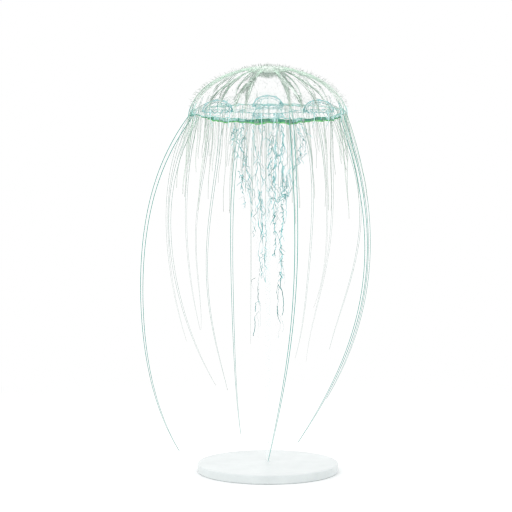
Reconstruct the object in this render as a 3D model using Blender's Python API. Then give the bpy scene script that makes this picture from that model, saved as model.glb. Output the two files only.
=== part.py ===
"""Moon jellyfish (Aurelia aurita): a still, life-size model on a rod stand.

Metres, +Z up. The stand's foot is centred on the origin and rests on z = 0.
The animal swims upright over it, with its front towards -Y.
"""

import math

import bmesh
import bpy
from mathutils import Vector

# Heights and clearances
RIM_HEIGHT = 0.565  # level of the bell's rim over the floor
GAP = 0.0003  # left between two solids that touch

# Bell: a thick lens of jelly, with raised ribs over it and a shallow hollow under it
BELL_RADIUS = 0.1265
BELL_HEIGHT = 0.0745
BELL_ROUNDNESS = 1.85  # exponent of the outline: 2 is an ellipse
BELL_SEGMENTS = 60
BELL_RINGS = 8
BELL_LAST_TURN = 86.0  # of the lowest ring; turns go from 0 at the crown to 90 at the rim
RIB_COUNT = 12
RIB_FIRST = 15.0  # azimuth of the first rib, in degrees
RIB_HEIGHT = 0.0011
RIB_LAST_TURN = 75.0  # below it a rib keeps its height
HOLLOW_RADIUS = 0.1165
HOLLOW_DEPTH = 0.030
HOLLOW_ROUNDNESS = 0.8
HOLLOW_RINGS = 4
HOLLOW_CROWDING = 1.4  # over 1 it crowds the rings towards the steep edge
RIM_CHAMFER = 0.0015

# Margin: eight ruffled lobes under the rim, parted by the notches of the sense organs
LOBE_COUNT = 8
LOBE_STEPS = 16
LOBE_HEIGHT = 0.0065
LOBE_INNER = 0.1185
LOBE_OUTER = 0.1245
LOBE_NOTCH = 0.0012  # half of the notch between two lobes
RUFFLE_DEPTH = 0.0016
RUFFLES_PER_LOBE = 5

# Fringe: short strands that grow from the lobes
STRAND_FIRST_STEP = 1
STRAND_STEP_PITCH = 3
STRAND_SHORT = 0.045
STRAND_LONG = 0.125
STRAND_WIDTHS = (0.50, 0.36, 0.28, 0.20)  # of the step that the strand grows from
STRAND_STATIONS = (0.10, 0.40, 0.72, 1.0)  # along the strand
STRAND_FLARE = 0.006
STRAND_ARC = 0.7 * math.pi  # of the sine that a strand's flare follows
STRAND_VARIATION = 2.4  # radians that the wave of lengths goes on from strand to strand

# Long tentacles
TENTACLE_ROOT = 0.1215  # distance of a root from the axis
TENTACLE_SIDES = 6
TENTACLE_SECTIONS = 6  # in each length
TENTACLE_TIP = 0.0006  # radius at the very end
TENTACLE_TAPER = 0.7
TENTACLE_STATIONS = (0.0, 0.25, 0.5, 0.75, 1.0)  # from root to tip, where its swing is given

# Gonads: four low domes with a horseshoe ridge, under the bell
GONAD_COUNT = 4
GONAD_DISTANCE = 0.078
GONAD_RADIUS = 0.0235
GONAD_HEIGHT = 0.0185
GONAD_SEGMENTS = 16
GONAD_ROUNDNESS = 2.6
GONAD_UPPER_SHARES = (0.4, 0.75, 0.93)  # rings of the dome, as shares of the radius
GONAD_LOWER_SHARES = (1.0, 0.72, 0.4)
HORSESHOE_DEPTH = 0.003
HORSESHOE_SHARE = 0.72  # the ridge's distance from the middle
HORSESHOE_WIDTH = 0.2
HORSESHOE_BLUNTNESS = 0.3  # under 1 it keeps the ridge high up to its two ends

# Manubrium: the four-cornered mouth tube
MANUBRIUM_SEGMENTS = 32
MANUBRIUM_TOP_RADIUS = 0.016
MANUBRIUM_LEVELS = (
    # height over the rim, waist, reach of the four corners
    (0.016, 0.011, 0.004),
    (0.006, 0.012, 0.016),
    (0.001, 0.013, 0.026),
    (-0.002, 0.013, 0.027),
)
MANUBRIUM_BOTTOM = MANUBRIUM_LEVELS[-1][0]
CORNER_SHARPNESS = 1.5

# Oral arms: four frilled leaves that hang from the manubrium's corners
ARM_COUNT = 4
ARM_FIRST_AZIMUTH = 45.0
ARM_SPLIT = 0.168  # drop below the rim at which the arm is parted
ARM_LENGTH = 0.357
ARM_THICKNESS = 0.0030
ARM_THINNING = 0.6  # share of the thickness that is lost towards the tip
ARM_INNER = 0.020
ARM_TOP_REACH = 0.038  # of the leaf from the axis, where it leaves the manubrium
ARM_BELLY = 0.086  # widest reach
ARM_BELLY_DROP = 0.042
ARM_TAIL = 0.012  # width of the long tail at its upper end
ARM_TIP = 0.001
ARM_TAPER = 3.4  # how soon the belly narrows to the tail
FRILL_OUTER = 0.0045  # sideways swing of the leaf's outer edge
FRILL_OUTER_PITCH = 0.046
FRILL_INNER = 0.0018
FRILL_INNER_PITCH = 0.060
ARM_UPPER_SECTIONS = 12
ARM_UPPER_SHARES = (0.0, 0.3, 0.6, 0.85, 1.0)  # across the leaf, from its inner edge to its outer
ARM_LOWER_SECTIONS = 10
ARM_LOWER_SHARES = (0.0, 0.5, 1.0)

# Stand
FOOT_RADIUS = 0.11
FOOT_HEIGHT = 0.014
FOOT_CHAMFER = 0.0015
FOOT_SEGMENTS = 32
ROD_RADIUS = 0.004
ROD_SEGMENTS = 12


def through(values, s):
    """The smooth curve that has these values at the TENTACLE_STATIONS, read at s."""
    total = 0.0
    for place, value in zip(TENTACLE_STATIONS, values):
        weight = 1.0
        for other in TENTACLE_STATIONS:
            if other != place:
                weight *= (s - other) / (place - other)
        total += weight * value
    return total


class Tentacle:
    """One long tentacle, as a smooth curve from its root to its tip.

    azimuth is that of its root, in degrees. drop is its length below the rim. swing says how
    far out from its root it hangs, a quarter, half and three quarters of the way down and at
    its tip. twist turns it round the bell towards its end, in degrees.
    """

    def __init__(self, name, azimuth, drop, swing, twist, radius, lengths):
        self.name = name
        self.azimuth = azimuth
        self.drop = drop
        self.swing = (0.0, *swing)
        self.twist = twist
        self.radius = radius
        self.lengths = lengths

    def point(self, s):
        top = -LOBE_HEIGHT - GAP
        azimuth = self.azimuth + self.twist * s**3
        return polar(TENTACLE_ROOT + through(self.swing, s), azimuth, top + (-self.drop - top) * s)

    def direction(self, s):
        if s <= 0.0:
            return Vector((0.0, 0.0, -1.0))
        step = 0.002
        return (self.point(min(s + step, 1.0)) - self.point(s - step)).normalized()

    def thickness(self, s):
        return TENTACLE_TIP + (self.radius - TENTACLE_TIP) * (1.0 - s) ** TENTACLE_TAPER


SLOT = 360.0 / LOBE_COUNT / LOBE_STEPS * STRAND_STEP_PITCH  # from one root to the next
LOBE = 360.0 / LOBE_COUNT


def slot(lobe, place):
    """Azimuth of a root: the lobe counted from +X, and its place 1 to 4 between the strands."""
    return lobe * LOBE + place * SLOT


TENTACLES = (
    #        name            root        drop   swing                           twist  radius  lengths
    Tentacle("left",         slot(4, 1), 0.529, (0.061, 0.076, 0.065, 0.018),   0.0,   0.0042, 3),
    Tentacle("left_front",   slot(4, 3), 0.422, (0.041, 0.042, 0.017, -0.032),  0.0,   0.0034, 2),
    Tentacle("front_left",   slot(5, 1), 0.422, (0.019, 0.035, 0.021, -0.017),  0.0,   0.0028, 2),
    Tentacle("front_middle", slot(5, 3), 0.484, (0.040, 0.041, 0.030, 0.003),   0.0,   0.0034, 3),
    Tentacle("front",        slot(6, 2), 0.526, (0.025, 0.034, 0.026, 0.005),   -17.0, 0.0042, 3),
    Tentacle("front_right",  slot(6, 3), 0.372, (0.035, 0.029, 0.011, -0.025),  0.0,   0.0028, 2),
    Tentacle("right_front",  slot(7, 1), 0.384, (0.001, -0.004, -0.026, -0.048), 0.0,  0.0026, 2),
    Tentacle("right",        slot(7, 3), 0.516, (0.033, 0.035, -0.001, -0.072), 0.0,   0.0040, 3),
    Tentacle("right_back",   slot(0, 1), 0.452, (0.030, 0.038, 0.020, -0.029),  0.0,   0.0034, 2),
    Tentacle("back_right",   slot(0, 4), 0.382, (0.043, 0.053, 0.030, -0.005),  0.0,   0.0028, 2),
    Tentacle("back_middle",  slot(1, 1), 0.321, (0.027, 0.036, 0.032, 0.000),   0.0,   0.0026, 2),
    Tentacle("back",         slot(2, 1), 0.384, (0.045, 0.050, 0.038, 0.015),   3.0,   0.0026, 2),
    Tentacle("back_left",    slot(3, 1), 0.353, (0.002, 0.018, 0.016, 0.010),   0.0,   0.0024, 2),
    Tentacle("left_middle",  slot(3, 2), 0.350, (0.019, 0.024, 0.017, -0.001),  0.0,   0.0028, 2),
    Tentacle("left_back",    slot(3, 4), 0.363, (0.032, 0.039, 0.030, 0.008),   0.0,   0.0032, 2),
)


def clear_scene():
    for obj in list(bpy.data.objects):
        bpy.data.objects.remove(obj, do_unlink=True)


def polar(radius, azimuth, height):
    """A point by its distance from the axis, its azimuth in degrees and its height over the rim."""
    angle = math.radians(azimuth)
    return Vector((radius * math.cos(angle), radius * math.sin(angle), RIM_HEIGHT + height))


def material(name, color, roughness, metallic=0.0, alpha=1.0):
    made = bpy.data.materials.new(name)
    made.use_nodes = True
    shader = made.node_tree.nodes["Principled BSDF"]
    shader.inputs["Base Color"].default_value = (*color, 1.0)
    shader.inputs["Roughness"].default_value = roughness
    shader.inputs["Metallic"].default_value = metallic
    shader.inputs["Alpha"].default_value = alpha
    made.diffuse_color = (*color, alpha)
    return made


def add_solid(name, bm, look, smooth=True):
    """Close the bmesh into a named object of its own."""
    bmesh.ops.recalc_face_normals(bm, faces=bm.faces)
    mesh = bpy.data.meshes.new(name)
    bm.to_mesh(mesh)
    bm.free()
    if smooth:
        mesh.shade_smooth()
        mesh.set_sharp_from_angle(angle=math.radians(50))
    mesh.materials.append(look)
    solid = bpy.data.objects.new(name, mesh)
    bpy.context.scene.collection.objects.link(solid)
    return solid


def close(bm, loop, point=None):
    """Close a loop of vertices with a flat cap, or with a fan to a point."""
    if point is None:
        bm.faces.new(loop)
        return
    tip = bm.verts.new(point)
    for here, after in zip(loop, loop[1:] + loop[:1]):
        bm.faces.new((here, after, tip))


def bridge(bm, upper, lower):
    for i in range(len(upper)):
        j = (i + 1) % len(upper)
        bm.faces.new((upper[i], upper[j], lower[j], lower[i]))


def loft(bm, rings, start=None, end=None):
    """Skin equal rings of points, closed at both ends, and give the loops of vertices back."""
    loops = [[bm.verts.new(point) for point in ring] for ring in rings]
    for upper, lower in zip(loops, loops[1:]):
        bridge(bm, upper, lower)
    close(bm, loops[0], start)
    close(bm, loops[-1], end)
    return loops


def azimuths(count, first=0.0):
    return [first + 360.0 * i / count for i in range(count)]


# Bell


def hollow_curve(radius):
    inside = max(0.0, 1.0 - (radius / HOLLOW_RADIUS) ** 2)
    return HOLLOW_DEPTH * inside**HOLLOW_ROUNDNESS


def hollow_rings():
    """Radius and height of each ring of the bell's underside, from the rim to the middle."""
    shares = [1.0 - (i / HOLLOW_RINGS) ** HOLLOW_CROWDING for i in range(HOLLOW_RINGS + 1)]
    return [(HOLLOW_RADIUS * share, hollow_curve(HOLLOW_RADIUS * share)) for share in shares]


def hollow_height(radius):
    """Height of the bell's underside over the rim, straight from ring to ring."""
    rings = hollow_rings()
    for (outer, low), (inner, high) in zip(rings, rings[1:]):
        if radius >= inner:
            return low + (high - low) * (outer - radius) / (outer - inner)
    return HOLLOW_DEPTH


def dome_ring(turn):
    """A ring of the outer surface, whose ribs stand over the skin between them."""
    angle = math.radians(turn)
    power = 2.0 / BELL_ROUNDNESS
    radius = BELL_RADIUS * math.sin(angle) ** power
    height = BELL_HEIGHT * math.cos(angle) ** power
    ridge = RIB_HEIGHT * math.sin(math.radians(2.0 * min(turn, RIB_LAST_TURN)))
    spacing = BELL_SEGMENTS // RIB_COUNT
    ring = []
    for i, azimuth in enumerate(azimuths(BELL_SEGMENTS, RIB_FIRST)):
        lift = 0.0 if i % spacing == 0 else -ridge
        ring.append(polar(radius + lift, azimuth, height + lift))
    return ring


def build_bell():
    bm = bmesh.new()
    rings = [dome_ring(BELL_LAST_TURN * (i + 1) / BELL_RINGS) for i in range(BELL_RINGS)]
    around = azimuths(BELL_SEGMENTS, RIB_FIRST)
    rings.append([polar(BELL_RADIUS, azimuth, RIM_CHAMFER) for azimuth in around])
    rings.append([polar(BELL_RADIUS - RIM_CHAMFER, azimuth, 0.0) for azimuth in around])
    for radius, height in hollow_rings()[:-1]:
        rings.append([polar(radius, azimuth, height) for azimuth in around])
    loft(bm, rings, start=polar(0.0, 0.0, BELL_HEIGHT), end=polar(0.0, 0.0, HOLLOW_DEPTH))
    add_solid("bell", bm, material("bell_jelly", (0.84, 0.93, 0.89), 0.12, alpha=0.35))


# Margin and fringe


def lobe_section(azimuth, step):
    """Outer top, outer bottom, inner bottom and inner top of the ruffled band."""
    wave = math.sin(2.0 * math.pi * RUFFLES_PER_LOBE * step / LOBE_STEPS)
    ruffle = RUFFLE_DEPTH * wave
    top, bottom = -GAP, -LOBE_HEIGHT
    return [
        polar(LOBE_OUTER, azimuth, top),
        polar(LOBE_OUTER - RUFFLE_DEPTH + ruffle, azimuth, bottom),
        polar(LOBE_INNER + ruffle, azimuth, bottom),
        polar(LOBE_INNER, azimuth, top),
    ]


def strand_ring(corners, azimuth, share, width, length):
    """The strand's four corners at a share of its length, drawn in towards its middle."""
    middle = sum(corners, Vector()) / len(corners)
    out = STRAND_FLARE * math.sin(STRAND_ARC * share)
    shift = polar(out, azimuth, 0.0) - polar(0.0, azimuth, length * share)
    return [middle + (corner - middle) * width + shift for corner in corners]


def strand_length(number):
    share = 0.5 + 0.5 * math.sin(STRAND_VARIATION * number)
    return STRAND_SHORT + (STRAND_LONG - STRAND_SHORT) * share


def build_lobe(lobe, look):
    bm = bmesh.new()
    notch = math.degrees(LOBE_NOTCH / LOBE_OUTER)
    pitch = (LOBE - 2.0 * notch) / LOBE_STEPS
    first = lobe * LOBE + notch
    turns = [first + pitch * step for step in range(LOBE_STEPS + 1)]
    loops = [[bm.verts.new(p) for p in lobe_section(turn, i)] for i, turn in enumerate(turns)]
    rooted = range(STRAND_FIRST_STEP, LOBE_STEPS, STRAND_STEP_PITCH)
    for step, (here, after) in enumerate(zip(loops, loops[1:])):
        for side in range(4):
            corners = [here[side], here[(side + 1) % 4], after[(side + 1) % 4], after[side]]
            if side == 1 and step in rooted:
                grow_strand(bm, corners, turns[step] + pitch / 2.0, lobe * LOBE_STEPS + step)
            else:
                bm.faces.new(corners)
    close(bm, loops[0])
    close(bm, loops[-1])
    add_solid(f"margin_{lobe + 1}", bm, look)


def grow_strand(bm, root, azimuth, number):
    corners = [vert.co.copy() for vert in root]
    upper = root
    for share, width in zip(STRAND_STATIONS, STRAND_WIDTHS):
        ring = strand_ring(corners, azimuth, share, width, strand_length(number))
        lower = [bm.verts.new(point) for point in ring]
        bridge(bm, upper, lower)
        upper = lower
    close(bm, upper)


# Long tentacles


def tube_ring(center, direction, radius):
    side = direction.cross(Vector((center.x, center.y, 0.0))).normalized()
    out = side.cross(direction)
    ring = []
    for azimuth in azimuths(TENTACLE_SIDES):
        angle = math.radians(azimuth)
        ring.append(center + (side * math.cos(angle) + out * math.sin(angle)) * radius)
    return ring


def build_tentacle(tentacle, look):
    for length in range(tentacle.lengths):
        bm = bmesh.new()
        rings = []
        for section in range(TENTACLE_SECTIONS + 1):
            s = (length + section / TENTACLE_SECTIONS) / tentacle.lengths
            direction = tentacle.direction(s)
            center = tentacle.point(s)
            if section == 0 and length > 0:
                center += direction * GAP
            rings.append(tube_ring(center, direction, tentacle.thickness(s)))
        loft(bm, rings)
        add_solid(f"tentacle_{tentacle.name}_{length + 1}", bm, look)


# Gonads


def gonad_point(turn, share, azimuth, underneath):
    """A point of a gonad's upper or lower skin, at a share of its radius from its middle."""
    angle = math.radians(azimuth + turn)
    middle = polar(GONAD_DISTANCE, azimuth, 0.0)
    out = GONAD_RADIUS * share
    point = middle + Vector((out * math.cos(angle), out * math.sin(angle), 0.0))
    from_axis = math.hypot(point.x, point.y)
    if underneath:
        ridge = math.exp(-(((share - HORSESHOE_SHARE) / HORSESHOE_WIDTH) ** 2))
        opening = 0.5 - 0.5 * math.cos(math.radians(turn - 180.0))
        point.z -= HORSESHOE_DEPTH * ridge * opening**HORSESHOE_BLUNTNESS
    else:
        dome = GONAD_HEIGHT * (1.0 - share**GONAD_ROUNDNESS)
        point.z += min(dome, hollow_height(from_axis) - GAP)
    return point


def gonad_ring(share, azimuth, underneath):
    return [gonad_point(turn, share, azimuth, underneath) for turn in azimuths(GONAD_SEGMENTS)]


def build_gonad(number, look):
    bm = bmesh.new()
    azimuth = 360.0 * number / GONAD_COUNT
    rings = [gonad_ring(share, azimuth, False) for share in GONAD_UPPER_SHARES]
    rings += [gonad_ring(share, azimuth, True) for share in GONAD_LOWER_SHARES]
    top = gonad_point(0.0, 0.0, azimuth, False)
    bottom = gonad_point(0.0, 0.0, azimuth, True)
    loft(bm, rings, start=top, end=bottom)
    add_solid(f"gonad_{number + 1}", bm, look)


# Manubrium and oral arms


def manubrium_ring(height, waist, reach):
    ring = []
    for azimuth in azimuths(MANUBRIUM_SEGMENTS):
        turn = math.radians((azimuth - ARM_FIRST_AZIMUTH) * ARM_COUNT)
        corner = (0.5 + 0.5 * math.cos(turn)) ** CORNER_SHARPNESS
        ring.append(polar(waist + reach * corner, azimuth, height))
    return ring


def build_manubrium():
    bm = bmesh.new()
    top = hollow_height(MANUBRIUM_TOP_RADIUS) - GAP
    rings = [manubrium_ring(top, MANUBRIUM_TOP_RADIUS, 0.0)]
    rings += [manubrium_ring(*level) for level in MANUBRIUM_LEVELS]
    loft(bm, rings)
    add_solid("manubrium", bm, material("manubrium_jelly", (0.80, 0.92, 0.90), 0.2, alpha=0.4))


def arm_outer(drop):
    """Reach of the leaf's outer edge from the axis at a drop below the rim."""
    if drop < ARM_BELLY_DROP:
        rise = math.sin(0.5 * math.pi * drop / ARM_BELLY_DROP)
        return ARM_TOP_REACH + (ARM_BELLY - ARM_TOP_REACH) * rise
    left = (ARM_LENGTH - drop) / (ARM_LENGTH - ARM_BELLY_DROP)
    tail = ARM_INNER + ARM_TIP + (ARM_TAIL - ARM_TIP) * left
    return tail + (ARM_BELLY - ARM_INNER - ARM_TAIL) * left**ARM_TAPER


def arm_point(azimuth, drop, share, side):
    """A point of the leaf: share runs from the inner edge to the outer, and side is 1 or -1."""
    radius = ARM_INNER + (arm_outer(drop) - ARM_INNER) * share
    outer = FRILL_OUTER * share**1.5 * math.sin(2.0 * math.pi * drop / FRILL_OUTER_PITCH)
    inner = FRILL_INNER * (1.0 - share) * math.sin(2.0 * math.pi * drop / FRILL_INNER_PITCH)
    half = 0.5 * ARM_THICKNESS * (1.0 - ARM_THINNING * drop / ARM_LENGTH)
    angle = math.radians(azimuth)
    across = Vector((-math.sin(angle), math.cos(angle), 0.0))
    return polar(radius, azimuth, -drop) + across * (outer + inner + side * half)


def build_arm_length(name, azimuth, drops, sections, shares, look):
    bm = bmesh.new()
    start, end = drops
    rings = []
    for section in range(sections + 1):
        drop = start + (end - start) * section / sections
        front = [arm_point(azimuth, drop, share, 1.0) for share in shares]
        back = [arm_point(azimuth, drop, share, -1.0) for share in reversed(shares)]
        rings.append(front + back)
    loft(bm, rings)
    add_solid(name, bm, look)


def build_arms():
    upper_look = material("arm_upper_frill", (0.42, 0.74, 0.71), 0.35, alpha=0.8)
    lower_look = material("arm_lower_frill", (0.45, 0.74, 0.72), 0.35, alpha=0.8)
    upper = (-MANUBRIUM_BOTTOM + GAP, ARM_SPLIT)
    lower = (ARM_SPLIT + GAP, ARM_LENGTH)
    for number, azimuth in enumerate(azimuths(ARM_COUNT, ARM_FIRST_AZIMUTH)):
        name = f"oral_arm_{number + 1}"
        build_arm_length(f"{name}_upper", azimuth, upper, ARM_UPPER_SECTIONS, ARM_UPPER_SHARES, upper_look)
        build_arm_length(f"{name}_lower", azimuth, lower, ARM_LOWER_SECTIONS, ARM_LOWER_SHARES, lower_look)


# Stand


def turned(profile, segments):
    """Rings of a round piece from its profile of distance from the axis and height over the floor."""
    return [[polar(r, azimuth, z - RIM_HEIGHT) for azimuth in azimuths(segments)] for r, z in profile]


def build_stand():
    bm = bmesh.new()
    inner = FOOT_RADIUS - FOOT_CHAMFER
    profile = (
        (inner, 0.0),
        (FOOT_RADIUS, FOOT_CHAMFER),
        (FOOT_RADIUS, FOOT_HEIGHT - FOOT_CHAMFER),
        (inner, FOOT_HEIGHT),
    )
    loft(bm, turned(profile, FOOT_SEGMENTS))
    add_solid("stand_base", bm, material("stand_base_acrylic", (0.88, 0.90, 0.90), 0.25))

    bm = bmesh.new()
    profile = ((ROD_RADIUS, FOOT_HEIGHT + GAP), (ROD_RADIUS, RIM_HEIGHT + MANUBRIUM_BOTTOM - GAP))
    loft(bm, turned(profile, ROD_SEGMENTS))
    add_solid("stand_rod", bm, material("stand_rod_acrylic", (0.93, 0.96, 0.96), 0.05, alpha=0.35))


def main():
    clear_scene()
    build_bell()
    margin_look = material("margin_green", (0.20, 0.55, 0.28), 0.35)
    for lobe in range(LOBE_COUNT):
        build_lobe(lobe, margin_look)
    tentacle_look = material("tentacle_jelly", (0.56, 0.76, 0.70), 0.3, alpha=0.6)
    for tentacle in TENTACLES:
        build_tentacle(tentacle, tentacle_look)
    gonad_look = material("gonad_teal", (0.38, 0.72, 0.72), 0.35, alpha=0.8)
    for number in range(GONAD_COUNT):
        build_gonad(number, gonad_look)
    build_manubrium()
    build_arms()
    build_stand()


main()
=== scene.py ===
"""Looks of the moon jellyfish model: clear ribbed bell, green margin, teal gonads and lace, long tentacles.

Metres, +Z up, front towards -Y, azimuths in degrees. Heights count up from the bell's rim and drops
count down from it.
"""

from collections import namedtuple

import bpy
import numpy as np
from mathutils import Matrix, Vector
from numpy import arange, array, clip, concatenate, cos, linspace, pi, radians, sin, stack


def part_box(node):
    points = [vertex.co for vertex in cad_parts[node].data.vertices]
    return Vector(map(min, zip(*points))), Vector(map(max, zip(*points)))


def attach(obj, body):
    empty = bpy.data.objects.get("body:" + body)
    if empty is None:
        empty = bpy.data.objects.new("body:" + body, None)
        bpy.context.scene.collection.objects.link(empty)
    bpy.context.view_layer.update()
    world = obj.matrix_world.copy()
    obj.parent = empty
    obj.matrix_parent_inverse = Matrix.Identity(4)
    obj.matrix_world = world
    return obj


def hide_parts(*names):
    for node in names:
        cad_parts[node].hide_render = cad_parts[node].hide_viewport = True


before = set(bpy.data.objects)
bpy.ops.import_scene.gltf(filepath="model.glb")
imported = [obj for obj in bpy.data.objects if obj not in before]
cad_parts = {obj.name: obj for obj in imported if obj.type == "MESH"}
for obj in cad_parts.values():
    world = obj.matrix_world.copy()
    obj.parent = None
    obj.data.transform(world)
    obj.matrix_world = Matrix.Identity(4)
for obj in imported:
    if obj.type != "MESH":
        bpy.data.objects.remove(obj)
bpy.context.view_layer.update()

# Sizes read from the frame
BELL_LOW, BELL_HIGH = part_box("bell")
RIM = BELL_LOW.z
COAT = 0.003  # depth of the fine fuzz over the skin
BELL_RADIUS = (BELL_HIGH.x - BELL_LOW.x) / 2 - COAT
BELL_HEIGHT = BELL_HIGH.z - RIM - COAT

FRONT = array([0, -1, 0])
UP = array([0, 0, 1])
QUARTERS = 90 * arange(4)  # azimuths of the gonads

# Bell. A turn goes from 0 at the crown to 90 at the rim
BELL_ROUNDNESS = 1.85  # exponent of the outline: 2 is an ellipse
HOLLOW_RADIUS = 0.1165
HOLLOW_DEPTH = 0.031
HOLLOW_ROUNDNESS = 0.8

# Ribs
RIBS = (  # azimuths from a gonad's middle: the stem, then its branches at the rim, each with its weight
    (19, ((17, 1), (26, 1.3))),
    (45, ((40, 0.8), (50, 0.8))),
    (71, ((64, 1.4), (73, 1))),
)
RIB_SIDING = 8  # degrees by which ribs near the left and right sides lie closer to them
RIB_WIDTHS = ((13, 0.002), (34, 0.0027), (50, 0.0021), (66, 0.0013), (86, 0.0008))  # by turn
RIB_FIBRES = 11
FIBRE_ROWS = 14

# Crown and fuzz
CROWN_REACH = 0.042
CROWN_THICKNESS = 0.012
FUZZ_TOP = 28  # the turn where the dome's top ends

# Margin
MARGIN_RADIUS = 0.12
MARGIN_TOP = 0.001
MARGIN_DROP = 0.0071
MARGIN_BACK_CUT = 0.006  # the frill hangs less low at the sides and the back
LAPPET = (189, 9)  # azimuth and half width of a flap that hangs lower at the left
LAPPET_DROP = 0.0034
PAINTED_FOLD_SHADE = ((270, 22, 4), (304, 9, 2))  # patches of painted shade on the frill's folds in front: azimuth, half width and squareness

# Long tentacles, as in the solids
TENTACLE_ROOT = 0.1215
TENTACLE_TIP = 0.0006
TENTACLE_TAPER = 0.7
TENTACLE_TOP = -0.0068
TENTACLE_INSET = 0.0005  # by which the tubes are thinner than the solids
LOBE = 45
SLOT = LOBE / 16 * 3
STATIONS = (0, 0.25, 0.5, 0.75, 1)  # from root to tip, where a tentacle's swing is given
# edges: how bold a tentacle's dark lines of painted edge shade are
Tentacle = namedtuple("Tentacle", "name root drop swing twist radius lengths edges")
TENTACLES = [
    Tentacle(name, LOBE * lobe + SLOT * slot, *rest)
    for name, lobe, slot, *rest in (
        ("left", 4, 1, 0.529, (0.061, 0.076, 0.065, 0.018), 0, 0.0042, 3, 1.05),
        ("left_front", 4, 3, 0.422, (0.041, 0.042, 0.017, -0.032), 0, 0.0034, 2, 0.5),
        ("front_left", 5, 1, 0.422, (0.019, 0.035, 0.021, -0.017), 0, 0.0028, 2, 0.6),
        ("front_middle", 5, 3, 0.484, (0.04, 0.041, 0.03, 0.003), 0, 0.0034, 3, 0.95),
        ("front", 6, 2, 0.526, (0.025, 0.034, 0.026, 0.005), -17, 0.0042, 3, 1.5),
        ("front_right", 6, 3, 0.372, (0.035, 0.029, 0.011, -0.025), 0, 0.0028, 2, 0.55),
        ("right_front", 7, 1, 0.384, (0.001, -0.004, -0.026, -0.048), 0, 0.0026, 2, 0.42),
        ("right", 7, 3, 0.516, (0.033, 0.035, -0.001, -0.072), 0, 0.004, 3, 1.18),
        ("right_back", 0, 1, 0.452, (0.03, 0.038, 0.02, -0.029), 0, 0.0034, 2, 0.9),
        ("back_right", 0, 4, 0.382, (0.043, 0.053, 0.03, -0.005), 0, 0.0028, 2, 0.55),
        ("back_middle", 1, 1, 0.321, (0.027, 0.036, 0.032, 0), 0, 0.0026, 2, 0.38),
        ("back", 2, 1, 0.384, (0.045, 0.05, 0.038, 0.015), 3, 0.0026, 2, 0.42),
        ("back_left", 3, 1, 0.353, (0.002, 0.018, 0.016, 0.01), 0, 0.0024, 2, 0.4),
        ("left_middle", 3, 2, 0.35, (0.019, 0.024, 0.017, -0.001), 0, 0.0028, 2, 0.42),
        ("left_back", 3, 4, 0.363, (0.032, 0.039, 0.03, 0.008), 0, 0.0032, 2, 0.4),
    )
]
SHADE_LINE_TURNS = (58, 122, 238, 302)  # turns of a tentacle's dark lines of painted edge shade, round it from its front
SHADE_LINE_RADII = ((0, 0.0003), (0.15, 0.00053), (0.7, 0.00041), (1, 0.00016))  # radii of the painted edge-shade lines, by share of the length
THIN_SHADE_LINE_TURNS = (30, 150, 270)  # painted edge shade: turns of the dark lines along the sides of thinner clear strands

# Fringe
FRINGE_CROWDING = 11  # degrees that strands move from the sides to the front and back
FRINGE_WAVE = 0.0011

# Gonads and stomach
GONAD_DISTANCE = 0.078
GONAD_RADIUS = 0.0225
GONAD_HEIGHT = 0.0175
GONAD_STRENGTH = (1, 1, 1, 0.4)  # the front one's arches are fainter
GONAD_SHARES = linspace(0, 1, 60)  # along an arch or a ring
ARCH_RADIUS = 0.00115
THIN_ARCH_RADIUS = 0.0003
STOMACH_RADIUS = 0.043

# Mouth tube, with four corners that reach towards the oral arms
MOUTH_RADII = (0, 0.015, 0.0115, 0.011, 0.012, 0.0125, 0.011, 0)
MOUTH_HEIGHTS = (0.0292, 0.0292, 0.022, 0.012, 0.004, -0.001, -0.0018, -0.0018)

# Oral arms, as in the solids
ARM_COUNT = 4
ARM_FIRST = 45
ARM_AZIMUTHS = ARM_FIRST + QUARTERS
ARM_TOP = 0.001
ARM_LENGTH = 0.357
ARM_INNER = 0.02
ARM_TOP_REACH = 0.038
ARM_BELLY = 0.086
ARM_BELLY_DROP = 0.042
ARM_TAIL = 0.012  # width of the long tail at its upper end
ARM_TIP = 0.001
ARM_TAPER = 3.4
FRILL_OUTER = 0.0045  # sideways swing of the leaf's outer edge
FRILL_OUTER_PITCH = 0.046
FRILL_INNER = 0.0018
FRILL_INNER_PITCH = 0.06
LEAF_ROWS = 90
LEAF_COLUMNS = 9
ARM_STRANDS = (  # share of the way to the outer edge and its spread, first and last drops, radius
    (0.1, 0.08, 0.003, 0.22, 0.275, 0.0008),
    (0.4, 0.18, 0.003, 0.12, 0.2, 0.00062),
    (0.7, 0.14, 0.012, 0.09, 0.17, 0.00055),
    (0.93, 0.07, 0.022, 0.08, 0.14, 0.00062),
)
ROWS = 64
TWIG_RADIUS = 0.00046

PATCH = 0.003  # side of a strand's place on the bake map

# Camera and light
VIEW_HEIGHT = 0.795  # seen from bottom to top
VIEW_DISTANCE = 6
VIEW_ELEVATION = 7.6
VIEW_AIM = Vector((-0.0186, 0, 0.34))


def polar(radius, azimuth, height):
    """Points by distance from the axis, azimuth in degrees and height over the rim."""
    radius, angle, height = np.broadcast_arrays(radius, radians(azimuth), height)
    return stack([radius * cos(angle), radius * sin(angle), RIM + height], axis=-1)


def unit(vectors):
    return vectors / np.maximum(np.linalg.norm(vectors, axis=-1, keepdims=True), 1e-12)


def outward(azimuth):
    """Level directions away from the axis."""
    return unit(polar(1, azimuth, -RIM))


def smooth(values, low, high):
    """0 under low, 1 over high and a soft step between."""
    t = clip((values - low) / (high - low), 0, 1)
    return t * t * (3 - 2 * t)


def front_share(azimuth):
    """0 at the back and 1 in front."""
    return 0.5 - 0.5 * sin(radians(azimuth))


def side_share(azimuth):
    """1 at the left and right sides, and 0 well away from them."""
    return smooth(np.abs(cos(radians(azimuth))), 0.72, 0.93)


def hump(azimuth, middle, width, power=2):
    """1 at the middle and 0 well away, with steeper sides the higher the power."""
    return np.exp(-(((azimuth - middle) / width) ** power))


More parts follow.
